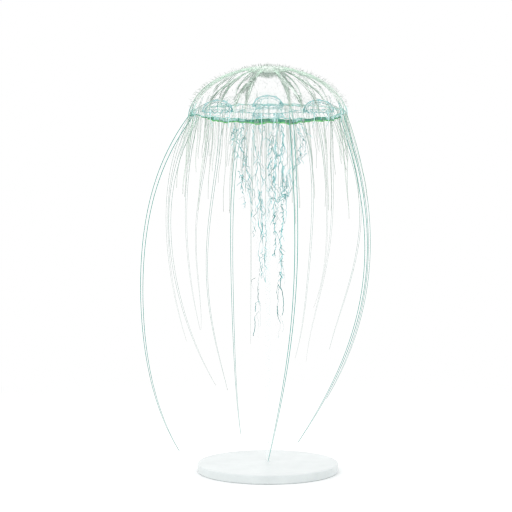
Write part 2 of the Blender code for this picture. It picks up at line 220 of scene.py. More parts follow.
def walk(rng, count, rows, size):
    """Smooth random wandering along strands, from nothing at their roots."""
    steps = rng.normal(0, size, (count, rows))
    steps[:, 1:] = 0.5 * (steps[:, 1:] + steps[:, :-1])
    path = np.cumsum(steps, axis=1)
    return path - path[:, :1]


def sample(path, rows):
    """Points of a path at fractional row numbers."""
    low = clip(rows.astype(int), 0, len(path) - 2)
    share = (rows - low)[:, None]
    return path[low] * (1 - share) + path[low + 1] * share


def tapered(rng, radii, count, rows):
    """A random thickness for each thread, which is halved by its tip."""
    return rng.uniform(*radii, count)[:, None] * linspace(1, 0.5, rows)


# Materials


def node(tree, kind, **settings):
    made = tree.nodes.new(kind)
    for name, value in settings.items():
        if name in made.inputs:
            made.inputs[name].default_value = value
        else:
            setattr(made, name, value)
    return made


def map_range(tree, value, low, high, **settings):
    """A node that spreads the values from low to high over 0 to 1."""
    made = node(tree, "ShaderNodeMapRange", **settings)
    made.inputs["From Min"].default_value = low
    made.inputs["From Max"].default_value = high
    tree.links.new(value, made.inputs["Value"])
    return made


def tissue(name, *colors, alpha=1, roughness=0.3, scale=90, bump=0.15, tinted=False):
    """Moist tissue, its colours mottled by noise, and picked by the point attribute tint on a tinted one."""
    made = bpy.data.materials.new(name)
    made.use_nodes = True
    tree = made.node_tree
    link = tree.links.new
    shader = tree.nodes["Principled BSDF"]
    shader.inputs["Roughness"].default_value = roughness
    shader.inputs["Alpha"].default_value = alpha
    place = node(tree, "ShaderNodeTexCoord")
    mottle = node(tree, "ShaderNodeTexNoise", Scale=scale, Detail=3)
    link(place.outputs["Object"], mottle.inputs["Vector"])
    spread = map_range(tree, mottle.outputs["Fac"], 0.3, 0.7)
    factor = spread.outputs["Result"]
    if tinted:
        own = node(tree, "ShaderNodeAttribute", attribute_name="tint")
        spread.inputs["To Min"].default_value = -0.15
        spread.inputs["To Max"].default_value = 0.15
        both = node(tree, "ShaderNodeMath", operation="ADD", use_clamp=True)
        link(own.outputs["Fac"], both.inputs[0])
        link(factor, both.inputs[1])
        factor = both.outputs[0]
    ramp = node(tree, "ShaderNodeValToRGB")
    stops = ramp.color_ramp.elements
    while len(stops) < len(colors):
        stops.new(0.5)
    for number, color in enumerate(colors):
        stops[number].position = number / (len(colors) - 1)
        stops[number].color = (*color, 1)
    link(factor, ramp.inputs["Fac"])
    link(ramp.outputs["Color"], shader.inputs["Base Color"])
    if bump:
        grain = node(tree, "ShaderNodeTexNoise", Scale=scale * 9, Detail=2)
        link(place.outputs["Object"], grain.inputs["Vector"])
        raised = node(tree, "ShaderNodeBump", Strength=bump, Distance=0.0004)
        link(grain.outputs["Fac"], raised.inputs["Height"])
        link(raised.outputs["Normal"], shader.inputs["Normal"])
    return made


def thread_look(name, *colors, roughness, scale=90):
    """Fine threads, too thin for bumps, each coloured by its tint."""
    return tissue(name, *colors, roughness=roughness, scale=scale, bump=0, tinted=True)


# Meshes


def add_mesh(name, points, quads, look, replaces=(), ends=None, uv=None, tint=None):
    """A piece from arrays of points and faces that rides on the body and takes its slot."""
    mesh = bpy.data.meshes.new(name)
    groups = [quads] if ends is None else [quads, ends]
    corners = concatenate([group.ravel() for group in groups]).astype(np.int32)
    sizes = concatenate([np.full(len(group), group.shape[1]) for group in groups])
    starts = concatenate([[0], np.cumsum(sizes)[:-1]]).astype(np.int32)
    mesh.vertices.add(points.size // 3)
    mesh.vertices.foreach_set("co", points.astype(np.float32).ravel())
    mesh.loops.add(len(corners))
    mesh.loops.foreach_set("vertex_index", corners)
    mesh.polygons.add(len(sizes))
    mesh.polygons.foreach_set("loop_start", starts)
    mesh.update(calc_edges=True)
    mesh.validate()
    mesh.shade_smooth()
    if uv is not None:
        layer = mesh.uv_layers.new(name="OFBake")
        layer.data.foreach_set("uv", uv[corners].astype(np.float32).ravel())
    if tint is not None:
        own = mesh.attributes.new("tint", "FLOAT", "POINT")
        own.data.foreach_set("value", tint.astype(np.float32).ravel())
    mesh.materials.append(look)
    piece = bpy.data.objects.new(name, mesh)
    bpy.context.scene.collection.objects.link(piece)
    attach(piece, "root")
    if replaces:
        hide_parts(*replaces)


def ring_faces(strands, rows, sides):
    """Quads of tubes whose points run strand by strand, ring by ring."""
    strand = arange(strands)[:, None, None] * rows * sides
    row = arange(rows - 1)[None, :, None] * sides
    side = arange(sides)[None, None, :]
    after = (side + 1) % sides
    base = strand + row
    quads = stack([base + side, base + after, base + sides + after, base + sides + side], axis=-1)
    return quads.reshape(-1, 4)


def tubes(name, paths, radii, sides, look, up=None, flat=1, tint=None, patches=None, replaces=()):
    """Tapering tubes along many paths, as one mesh.

    paths is strands x rows x 3 and radii strands x rows. up starts the frames, and flat
    multiplies the size across it. patches gives each strand's place on the bake map.
    """
    strands, rows, _ = paths.shape
    tangent = unit(np.gradient(paths, axis=1))
    if up is None:
        up = np.cross(tangent[:, 0], unit(array([0.31, 0.77, 0.55])))
    normal = np.empty_like(tangent)
    last = np.broadcast_to(up, tangent[:, 0].shape)
    for row in range(rows):
        last = unit(last - (last * tangent[:, row]).sum(-1, keepdims=True) * tangent[:, row])
        normal[:, row] = last
    across = np.cross(tangent, normal)
    side = arange(sides)
    angle = 2 * pi * side / sides
    size = radii[:, :, None, None]
    points = (
        paths[:, :, None]
        + size * cos(angle)[:, None] * normal[:, :, None]
        + flat * size * sin(angle)[:, None] * across[:, :, None]
    )
    start = arange(strands)[:, None] * rows * sides
    ends = concatenate([start + side[::-1], start + (rows - 1) * sides + side])
    along = (arange(rows) / (rows - 1))[None, :, None]
    around = (side / sides)[None, None, :]
    if patches is None:
        u = (arange(strands)[:, None, None] + 0.1 + 0.8 * around) / strands
        v = 0.02 + 0.96 * along
    else:
        u = patches[:, 0, None, None] + PATCH * (around - 0.5)
        v = patches[:, 1, None, None] + PATCH * (along - 0.5)
    uv = stack(np.broadcast_arrays(u, v), axis=-1).reshape(-1, 2)
    if tint is not None:
        tint = np.repeat(tint, rows * sides)
    quads = ring_faces(strands, rows, sides)
    add_mesh(name, points, quads, look, replaces, ends=ends, uv=uv, tint=tint)


def edge_lines(paths, radii, up, turns):
    """Paths along the sides of tubes, at so many degrees round them from up."""
    up = np.broadcast_to(up, (len(paths), 3))[:, None]
    tangent = unit(np.gradient(paths, axis=1))
    normal = unit(up - (up * tangent).sum(-1, keepdims=True) * tangent)
    across = np.cross(tangent, normal)
    lines = []
    for turn in turns:
        angle = radians(turn)
        around = cos(angle) * normal + sin(angle) * across
        lines.append(paths + around * (radii * 0.94)[..., None])
    return concatenate(lines)


def bell_patches(paths):
    """Places on the bake map from where strands root on the bell, unwrapped from its crown."""
    root = paths[:, 0]
    share = 0.46 * np.hypot(root[:, 0], root[:, 1]) / 0.13
    angle = np.arctan2(root[:, 1], root[:, 0])
    return stack([0.5 + share * cos(angle), 0.5 + share * sin(angle)], axis=-1)


def arm_patches(paths):
    """Places on the bake map for twigs: by turn about the axis and height of their roots."""
    root = paths[:, 0]
    turn = np.arctan2(root[:, 1], root[:, 0]) / (2 * pi) + 0.5
    drop = clip((RIM - root[:, 2]) / 0.4, 0, 1)
    return stack([0.02 + 0.96 * turn, 0.02 + 0.96 * drop], axis=-1)


def threads(name, paths, radii, sides, look, rng, patches=bell_patches):
    """Tubes with a random tint each, which lie on the bake map where they root."""
    tubes(name, paths, radii, sides, look, tint=rng.random(len(paths)), patches=patches(paths))


def grow_twigs(name, parents, radii, count, lengths, rng, look, first_row=2, lean=0.55, sides=4):
    """Short curved side branches from random places on parent strands, pointing out and down.

    lean is how far they start out along their parent, against 1 for straight off it.
    """
    rows = parents.shape[1]
    weight = radii.mean(axis=1) ** 2
    which = rng.choice(len(parents), count, p=weight / weight.sum())
    where = rng.integers(first_row, rows - 1, count)
    base = parents[which, where]
    along = unit(base - parents[which, where - 1])
    away = unit(rng.normal(0, 1, (count, 3)) * [1, 1, 0.35])
    start = unit(along * lean + away)
    bend = unit(along + [0, 0, -0.8] + rng.normal(0, 0.5, (count, 3)))
    t = linspace(0, 1, 7)[:, None]
    shortest, longest = lengths
    length = (shortest + (longest - shortest) * rng.beta(1.2, 2, count))[:, None, None]
    paths = base[:, None] + (start[:, None] * (t - 0.45 * t * t) + 0.6 * bend[:, None] * t * t) * length
    size = np.minimum(1.35 * radii[which, where], TWIG_RADIUS)[:, None] * linspace(1, 0.5, 7)
    threads(name, paths, size, sides, look, rng, arm_patches)
    return paths, size


def closed_shell(name, rings, poles, look, replaces=()):
    """A closed round shell from rows of rings and the point over the first and under the last."""
    rows, steps, _ = rings.shape
    side = arange(steps)
    after = (side + 1) % steps
    top = stack([side, np.full(steps, rows * steps), after], axis=-1)
    low = (rows - 1) * steps
    bottom = stack([low + side, low + after, np.full(steps, rows * steps + 1)], axis=-1)
    points = concatenate([rings.reshape(-1, 3), poles])
    quads = ring_faces(1, rows, steps)[:, ::-1]
    add_mesh(name, points, quads, look, replaces, ends=concatenate([top, bottom]))


def revolved(name, radius, height, steps, look, replaces=(), shift=None):
    """A closed round shell from a profile that starts and ends on the axis."""
    azimuth = 360 * arange(steps) / steps
    rings = polar(radius[1:-1, None], azimuth, height[1:-1, None])
    if shift is not None:
        rings = rings + shift(rings, radius[1:-1, None], azimuth)
    poles = polar(0, 0, height[[0, -1]])
    closed_shell(name, rings, poles, look, replaces)


# Bell


def dome(turn, depth=0):
    """Radius and height of the outer skin, or of a layer under it."""
    angle = radians(turn)
    power = 2 / BELL_ROUNDNESS
    radius = (BELL_RADIUS - depth) * clip(sin(angle), 0, 1) ** power
    height = (BELL_HEIGHT - depth) * clip(cos(angle), 0, 1) ** power
    return radius, height


def hollow(radius):
    """Height of the underside's skin over the rim."""
    inside = clip(1 - (radius / HOLLOW_RADIUS) ** 2, 0, 1)
    return HOLLOW_DEPTH * inside**HOLLOW_ROUNDNESS


def build_bell_skin():
    out_r, out_z = dome(linspace(0, 88.5, 46))
    lip_in, lip_z = array(((0, 0.0012), (0.0004, 0.0004), (0.0016, 0.0001))).T
    in_r = HOLLOW_RADIUS * cos(linspace(0, 0.5 * pi, 24))
    in_z = hollow(in_r) + 0.0002
    in_r[-1] = 0
    radius = concatenate([out_r, BELL_RADIUS - lip_in, in_r])
    height = concatenate([out_z, lip_z, in_z])
    look = tissue(
        "bell_skin", (0.86, 0.93, 0.89), (0.76, 0.86, 0.8), alpha=0.034, roughness=0.12, scale=40, bump=0.1
    )
    revolved("bell_skin", radius, height, 240, look, ["bell"])


# Ribs


def to_sides(azimuth):
    """Azimuths with those near the left and right sides moved closer to them."""
    return azimuth - RIB_SIDING * side_share(azimuth) * np.sign(sin(2 * radians(azimuth)))


def rib_branches():
    """The azimuths of every branch's stem and foot, and its weight."""
    rows = []
    for quarter in QUARTERS:
        for stem, branches in RIBS:
            for foot, weight in branches:
                rows.append((quarter + stem, quarter + foot, weight))
    stems, feet, weights = array(rows).T
    return to_sides(stems), to_sides(feet), weights


def rib_paths(rng, stems, feet, aside, depth, turns):
    """Paths down the dome, at a distance aside of the middle and a depth under the skin."""
    radius, height = dome(turns, depth[:, None])
    split = (feet - stems)[:, None] * smooth(turns, 20, 68)
    phase = rng.uniform(0, 2 * pi, (len(stems), 2))
    waver = sin(turns * 0.21 + phase[:, :1]) + 0.6 * sin(turns * 0.53 + phase[:, 1:])
    shift = aside + 0.0003 * waver
    angle = stems[:, None] + split + np.degrees(shift / np.maximum(radius, 0.012))
    return polar(radius, angle, height)


def build_ribs():
    """Pale straps in the jelly with dark fibres over them, strongest in front; the fibres also paint shade
    along the straps' edges.
    """
    rng = np.random.default_rng(11)
    stems, feet, weights = rib_branches()
    places, widths = zip(*RIB_WIDTHS)
    turns = linspace(places[0], places[-1], 36)
    paths = rib_paths(rng, stems, feet, 0, np.full(len(stems), 0.0022), turns)
    width = weights[:, None] * np.interp(turns, places, widths)
    side = side_share(stems)
    strength = 0.45 + 0.55 * smooth(front_share(stems), 0.4, 0.6)
    size = 0.5 * (strength * (1 + 0.3 * side))[:, None] * width
    look = tissue("rib_jelly", (0.8, 0.97, 0.85), (0.64, 0.9, 0.72), alpha=0.22, scale=150)
    tubes("rib_straps", paths, size, 10, look, up=outward(stems), flat=2)
    strength = strength * (1 - 0.9 * side)
    every = np.repeat(arange(len(stems)), RIB_FIBRES)
    build_fibres_and_rib_shade(rng, stems[every], feet[every], weights[every], width[every], strength[every], turns)


def build_fibres_and_rib_shade(rng, stems, feet, weights, width, strength, turns):
    """Short dark threads down the ribs, mostly near their two edges: fibres that also paint the shade along
    the ribs' sides.
    """
    count = len(stems)
    side = np.sign(rng.uniform(-1, 1, count))
    aside = width * (rng.uniform(0.4, 1.2, count) * side * (0.3 + 0.7 * strength))[:, None]
    paths = rib_paths(rng, stems, feet, aside, rng.uniform(0.0006, 0.0048, count), turns)
    first = rng.uniform(1.5, 24, count)
    last = np.minimum(first + rng.uniform(4, 15, count), len(turns) - 1)
    shown = linspace(first, last, FIBRE_ROWS, axis=1)
    paths = array([sample(path, places) for path, places in zip(paths, shown)])
    radii = rng.uniform(0.00026, 0.00048, count) * (0.35 + 0.65 * strength)
    radii = radii[:, None] * sin(linspace(0.35, 2.9, FIBRE_ROWS))
    # dark fibres that also paint the shade along the ribs' edges
    look = thread_look("rib_fibre_and_shade", (0.54, 0.63, 0.57), (0.2, 0.3, 0.24), roughness=0.4, scale=200)
    threads("rib_fibres_and_shade", paths, radii, 4, look, rng)
    build_rib_fuzz(rng, look, paths, strength * weights**2)


def build_rib_fuzz(rng, look, parents, share):
    """Short bristly threads that stand off the ribs on both sides."""
    count = 2300
    which = rng.choice(len(parents), count, p=share / share.sum())
    where = rng.integers(1, parents.shape[1] - 1, count)
    base = parents[which, where]
    along = unit(parents[which, where + 1] - parents[which, where - 1])
    off = unit(base - [0, 0, RIM - 0.03])
    aside = np.cross(along, off) * np.sign(rng.uniform(-1, 1, (count, 1)))
    t = linspace(0, 1, 4)[:, None]
    length = rng.uniform(0.0012, 0.0044, (count, 1, 1))
    lean = unit(aside + 0.4 * along + rng.normal(0, 0.4, (count, 3)))[:, None]
    paths = base[:, None] + (lean * t + 0.4 * along[:, None] * t * t) * length
    radii = tapered(rng, (0.0002, 0.00034), count, 4)
    threads("rib_fuzz", paths, radii, 3, look, rng)


# Crown and fuzz


def cap_depth(share):
    """The pale cap's thickness, at a share of its reach."""
    return CROWN_THICKNESS * (1 - share**1.5)


def build_crown():
    """The dense pale cap where the ribs meet, with a thick felt of fine threads under it."""
    rng = np.random.default_rng(12)
    share = linspace(0, 1, 24)
    skin_r, skin_z = dome(linspace(0, 60, 120), 0.0004)
    top = np.interp(CROWN_REACH * share, skin_r, skin_z)
    low = top - (cap_depth(share) + 0.0004)
    radius = CROWN_REACH * concatenate([share, share[::-1]])
    height = concatenate([top, low[::-1]])
    look = tissue(
        "crown_jelly", (0.8, 0.97, 0.84), (0.66, 0.9, 0.72), alpha=0.25, roughness=0.35, scale=140, bump=0.3
    )
    revolved("crown_cap", radius, height, 96, look)

    count = 800
    place = 0.8 * rng.random(count) ** 0.75
    azimuth = rng.uniform(0, 360, count)
    level = np.interp(CROWN_REACH * place, skin_r, skin_z)
    start = level - cap_depth(place) * rng.uniform(0.85, 1, count)
    t = linspace(0, 1, 5)
    longest = 0.0012 + 0.0085 * np.exp(-((place / 0.6) ** 4))
    length = (longest * rng.beta(1.6, 1.4, count))[:, None]
    lean = rng.normal(0, 0.0022, (count, 2))
    paths = polar(CROWN_REACH * place[:, None], azimuth[:, None], start[:, None] - length * t)
    paths[:, :, :2] += lean[:, None] * sin(4 * t)[..., None]
    radii = 0.00026 * (1 - 0.5 * t) * np.ones((count, 1))
    felt = thread_look("crown_felt", (0.8, 0.87, 0.82), (0.5, 0.57, 0.52), roughness=0.5)
    threads("crown_felt", paths, radii, 3, felt, rng)


def build_fuzz():
    """Sparse fine hairs that stand on the dome, thickest at its top."""
    rng = np.random.default_rng(13)
    spread = np.degrees(np.arccos(rng.uniform(0.12, 1, 850)))
    turn = concatenate([spread, rng.uniform(3, FUZZ_TOP, 190)])
    count = len(turn)
    azimuth = rng.uniform(0, 360, count)
    radius, height = dome(turn)
    root = polar(radius, azimuth, height)
    off = unit(polar(sin(radians(turn)), azimuth, cos(radians(turn)) - RIM))
    lean = rng.normal(0, 0.5, (count, 3))
    length = COAT * np.where(turn < FUZZ_TOP, 1.1, 1.5) * rng.uniform(0.4, 1, count)
    t = linspace(0, 1, 4)[:, None]
    paths = root[:, None] + (off[:, None] * t + lean[:, None] * t * t * 0.6) * length[:, None, None]
    paths[:, :, 2] = np.minimum(paths[:, :, 2], BELL_HIGH.z - 0.0004)
    look = thread_look("dome_fuzz", (0.58, 0.64, 0.6), (0.34, 0.42, 0.37), roughness=0.5)
    threads("dome_fuzz", paths, tapered(rng, (0.00018, 0.00032), count, 4), 3, look, rng)


# Margin. A whole number before an angle counts waves round the rim


def margin_edges(azimuth, facing, lappet):
    """Height of the frill's upper edge and drop of its hem."""
    angle = radians(azimuth)
    swell = sin(11 * angle + 1.2 * sin(4 * angle) + 2.1)
    scallop = 0.0013 * swell + 0.0006 * sin(29 * angle + 0.7) + 0.0004 * sin(61 * angle)
    rise = 0.0042 * smooth(-cos(angle), 0.5, 0.85) * facing
    drop = MARGIN_DROP + scallop - MARGIN_BACK_CUT * (1 - facing) + LAPPET_DROP * lappet - rise
    dip = 0.0022 * (0.5 + 0.5 * sin(17 * angle + 1.1 * sin(6 * angle))) * facing
    return MARGIN_TOP - dip, np.maximum(drop, 0.0002)


def margin_shade(azimuth, facing, lappet, share):
    """Where the frill lies among its colours: pale folds with painted shade in them, over a bright green hem.
    """
    angle = radians(azimuth)
    # painted shade: the folds, and two patches in front, darkened where they lie in shade
    fold_shade = sin(13 * angle + 2 * sin(5 * angle + 0.5))
    fold_shade = fold_shade + 0.5 * sin(47 * angle) + 0.35 * sin(131 * angle)
    shade_patches = sum(hump(azimuth, *stretch) for stretch in PAINTED_FOLD_SHADE)
    body = 0.3 * lappet + (0.12 + 0.44 * smooth(fold_shade + 0.9 * shade_patches, -0.1, 0.9)) * facing
    hem = smooth(share, 0.52, 0.86) * (0.1 + 0.9 * facing)
    return body * (1 - hem) + hem


def build_margin():
    """The ruffled frill, one thin closed band in place of the eight lobes."""
    steps = 1440
    azimuth = 360 * arange(steps) / steps
    angle = radians(azimuth)
    share = linspace(0, 1, 13)[:, None]
    facing = smooth(front_share(azimuth), 0.58, 0.84)
    lappet = hump(azimuth, *LAPPET)
    ruffle = (
        0.9 * sin(72 * angle + 1.2 * sin(5 * angle))
        + 0.6 * sin(113 * angle + 2 * sin(3 * angle + 1))
        + 0.35 * sin(211 * angle)
    )
    upper, drop = margin_edges(azimuth, facing, lappet)
    radius = MARGIN_RADIUS + 0.0013 * share * ruffle - 0.0006 * share
    height = upper - (drop + upper) * share
    outer = polar(radius, azimuth, height)
    inner = polar(radius - 0.0006 * (1 - 0.5 * share), azimuth, height)
    points = concatenate([outer, inner[::-1]])
    side = arange(steps)
    after = (side + 1) % steps
    last = (len(points) - 1) * steps
    seam = stack([last + side, last + after, after, side], axis=-1)
    quads = concatenate([ring_faces(1, len(points), steps), seam])[:, ::-1]
    shade = margin_shade(azimuth, facing, lappet, share)
    tint = concatenate([shade, shade[::-1]])
    # the dark middle colours paint the shade in the folds
    look = tissue(
        "margin_frill",
        (0.68, 0.9, 0.87),
        (0.2, 0.55, 0.47),
        (0.04, 0.26, 0.18),
        (0.1, 0.44, 0.2),
        (0.2, 0.72, 0.22),
        alpha=0.85,
        scale=420,
        tinted=True,
    )
    names = [f"margin_{i + 1}" for i in range(8)]
    add_mesh("margin_frill", points, quads, look, names, tint=tint)


def build_margin_roots():
    """Pale cords that cross the frill from the bell's edge down to the fringe."""
    rng = np.random.default_rng(15)
    count = 18
    azimuth = 360 * (arange(count) + rng.uniform(-0.3, 0.3, count)) / count
    t = linspace(0, 1, 14)
    lean = rng.uniform(-2.5, 2.5, (count, 1))
    reach = MARGIN_RADIUS - 0.0005 + 0.0035 * sin(pi * t)
    paths = polar(reach, azimuth[:, None] + lean * (t - 0.5), 0.009 - 0.024 * t)
    radii = rng.uniform(0.0006, 0.001, count)[:, None] * (1.1 - 0.5 * t)
    look = tissue("margin_cord", (0.72, 0.94, 0.93), (0.52, 0.84, 0.84), alpha=0.6, roughness=0.25, scale=300)
    tubes("margin_roots", paths, radii, 6, look, patches=bell_patches(paths))


# Canals


def build_ring_canal(rng):
    turn = linspace(0, 360, 361)
    wave = radians(turn)
    thin, thick = 0.00008, 0.00038
    paths, radii = [], []
    for base, level in ((0.12, 0.0018), (0.1192, 0.0004), (0.1165, -0.0006)):
        phase = rng.uniform(0, 2 * pi, 3)
        radius = base + 0.0007 * sin(23 * wave + phase[0])
        height = level + 0.0007 * sin(31 * wave + phase[1]) + 0.0004 * sin(57 * wave + phase[2])
        paths.append(polar(radius, turn, height))
        gaps = sin(7 * wave + phase[0]) + sin(19 * wave + phase[1]) + 0.5 * sin(43 * wave + phase[2])
        radii.append(thin + (thick - thin) * smooth(gaps, 0, 1.2))
    look = thread_look("canal_teal", (0.46, 0.8, 0.76), (0.14, 0.56, 0.48), roughness=0.3, scale=240)
    tubes("ring_canal", array(paths), array(radii), 5, look, tint=rng.random(len(paths)))


def build_fine_canals(rng):
    """Pale canals under the bell, from beside the gonads out to its edge."""
    count = 96
    azimuth = 360 * arange(count) / count + rng.normal(0, 0.5, count)
    inner = rng.uniform(0.072, 0.104, count)[:, None]
    radius = inner + (0.1155 - inner) * linspace(0, 1, 14)
    bend = 1.2 * sin(radius * 160 + rng.uniform(0, 6.3, (count, 1)))
    paths = polar(radius, azimuth[:, None] + bend, hollow(radius) - 0.0004)
    radii = np.full(radius.shape, 0.00021)
    look = tissue("canal_pale", (0.64, 0.7, 0.67), (0.42, 0.5, 0.46), bump=0)
    tubes("fine_canals", paths, radii, 4, look, patches=bell_patches(paths))


def build_canals():
    rng = np.random.default_rng(14)
    build_ring_canal(rng)
    build_fine_canals(rng)


# Tentacles and fringe


def through(values, s):
    """The smooth curve that has these values at the stations, read at s."""
    total = 0
    for place, value in zip(STATIONS, values):
        weight = 1
        for other in STATIONS:
            if other != place:
                weight = weight * (s - other) / (place - other)
        total = total + weight * value
    return total


def hanging(azimuth, drop, swing, twist, s):
    """Points of hanging curves at shares s of their length: the solids' own rule."""
    radius = TENTACLE_ROOT + through((0, *swing), s)
    return polar(radius, azimuth + twist * s**3, TENTACLE_TOP + (-drop - TENTACLE_TOP) * s)


def build_tentacles():
    """Clear tubes that start inside the bell, with a dark line of painted edge shade along each side."""
    look = tissue("tentacle_tube", (0.9, 0.97, 0.95), (0.8, 0.92, 0.89), alpha=0.05, roughness=0.2, scale=150)
    s = linspace(0, 1, 70)
    climb_r, climb_z = dome(linspace(72, 88, 6), 0.003)
    paths, radii = [], []
    for one in TENTACLES:
        root = polar(climb_r, one.root, climb_z)
        path = concatenate([root, hanging(one.root, one.drop, one.swing, one.twist, s)])
        radius = TENTACLE_TIP + (one.radius - TENTACLE_TIP) * (1 - s) ** TENTACLE_TAPER - TENTACLE_INSET
        radius = concatenate([linspace(0.2, 0.9, len(root)) * radius[0], radius])
        name = f"tentacle_{one.name}"
        nodes = [f"{name}_{i + 1}" for i in range(one.lengths)]
        tubes(name, path[None], radius[None], 16, look, up=FRONT, replaces=nodes)
        paths.append(path)
        radii.append(radius)
    build_tentacle_shade_lines(array(paths), array(radii))


def build_tentacle_shade_lines(paths, radii):
    """The dark lines of painted edge shade, where a clear tube looks darker at its sides: each tentacle's as
    bold as its row says, and the faint ones bolder at the top.
    """
    lines = edge_lines(paths, radii, FRONT, SHADE_LINE_TURNS)
    share = linspace(0, 1, lines.shape[1])
    strength = np.tile([one.edges for one in TENTACLES], len(SHADE_LINE_TURNS))
    top = 0.4 * np.maximum(1 - strength, 0)[:, None] * (1 - smooth(share, 0.25, 0.6))
    size = (strength[:, None] + top) * np.interp(share, *zip(*SHADE_LINE_RADII))
    tint = clip((strength - 0.3) / 0.9, 0, 1)
    # painted edge shade: grey to teal dark lines along the tubes' sides
    look = thread_look("tentacle_shade_line", (0.48, 0.55, 0.51), (0.15, 0.45, 0.4), roughness=0.35, scale=150)
    tubes("tentacle_shade_lines", lines, size, 4, look, tint=tint)


def fringe_paths(rng, count, shortest, longest):
    """Strands round the rim that swing as the tentacles beside them do, and the shares of their rows."""
    azimuth = 360 * (arange(count) + rng.uniform(-0.9, 0.9, count)) / count
    azimuth = azimuth + FRINGE_CROWDING * sin(radians(2 * azimuth))
    length = shortest + (longest - shortest) * rng.beta(1.3, 1.4, count)
    order = sorted(TENTACLES, key=lambda one: one.root)

    def between(values):
        return np.interp(azimuth, [one.root for one in order], values, period=360)[:, None]

    drop = between([one.drop for one in order])
    swing = [between([one.swing[i] for one in order]) for i in range(len(STATIONS) - 1)]
    t = linspace(0, 1, 16)[None, :]
    s = t * (length[:, None] / drop)
    side = np.abs(cos(radians(azimuth)))[:, None]
    spread = 1.05 - (0.55 + 0.5 * side**2) * rng.random((count, 1))
    paths = hanging(azimuth[:, None], drop, [spread * out for out in swing], 0, s)
    root = polar(MARGIN_RADIUS - 0.001, azimuth, 0)
    phase = rng.uniform(0, 2 * pi, (count, 2))
    paths[:, :, 0] += FRINGE_WAVE * t * sin(9 * t + phase[:, :1])
    paths[:, :, 1] += FRINGE_WAVE * t * sin(7 * t + phase[:, 1:])
    paths[:, :, :2] *= rng.uniform(0.975, 1.01, (count, 1, 1))
    return concatenate([root[:, None], paths], axis=1), concatenate([t[:, :1], t], axis=1)


def build_fringe():
    """Dark threads, and clear tubes among them with dark lines of painted edge shade along their sides."""
    rng = np.random.default_rng(21)
    thread = thread_look("fringe_thread", (0.5, 0.57, 0.53), (0.18, 0.28, 0.22), roughness=0.4, scale=200)
    paths, t = fringe_paths(rng, 76, 0.015, 0.08)
    radii = rng.uniform(0.00012, 0.00022, len(paths))[:, None] * (1 - 0.6 * t)
    threads("fringe", paths, radii, 4, thread, rng)

    paths, t = fringe_paths(rng, 84, 0.03, 0.16)
    radii = rng.uniform(0.0008, 0.0019, len(paths))[:, None] * (1 - 0.7 * t)
    side = np.abs(paths[:, 0, 0]) / TENTACLE_ROOT
    pale = tissue("fringe_tube", (0.8, 0.88, 0.83), (0.52, 0.9, 0.62), alpha=0.1, scale=200, tinted=True)
    tubes("fringe_tubes", paths, radii, 8, pale, tint=side**2, patches=bell_patches(paths))
    # dark lines of painted edge shade along the clear tubes' sides
    edges = edge_lines(paths, radii, FRONT, THIN_SHADE_LINE_TURNS)
    fine = np.full(edges.shape[:2], 0.00018) * (1 - 0.35 * t)
    tint = np.tile(rng.random(len(paths)), len(THIN_SHADE_LINE_TURNS))
    tubes("fringe_shade_lines", edges, fine, 3, thread, tint=tint, patches=bell_patches(edges))


# Gonads and stomach


def arch(center, direction, radius, height, ripple, ripples):
    sweep = pi * GONAD_SHARES[:, None]
    rise = height * sin(sweep) ** 0.85 + ripple * sin(ripples * sweep)
    return center + direction * radius * cos(sweep) + UP * rise


def foot_ring(center, out, tangent, share, level):
    turn = radians(200 + 320 * GONAD_SHARES)[:, None]
    wave = 1 + 0.04 * sin(14 * turn + level * 900)
    flat = (out * cos(turn) + tangent * sin(turn)) * GONAD_RADIUS * share * wave
    return center + flat + UP * (level + 0.0008 * sin(17 * turn))


def beaded(size, depth, beads, phase):
    """Radii along an arch or a ring, which swell and shrink by a depth."""
    return size * (1 + depth * sin(beads * pi * GONAD_SHARES + phase))


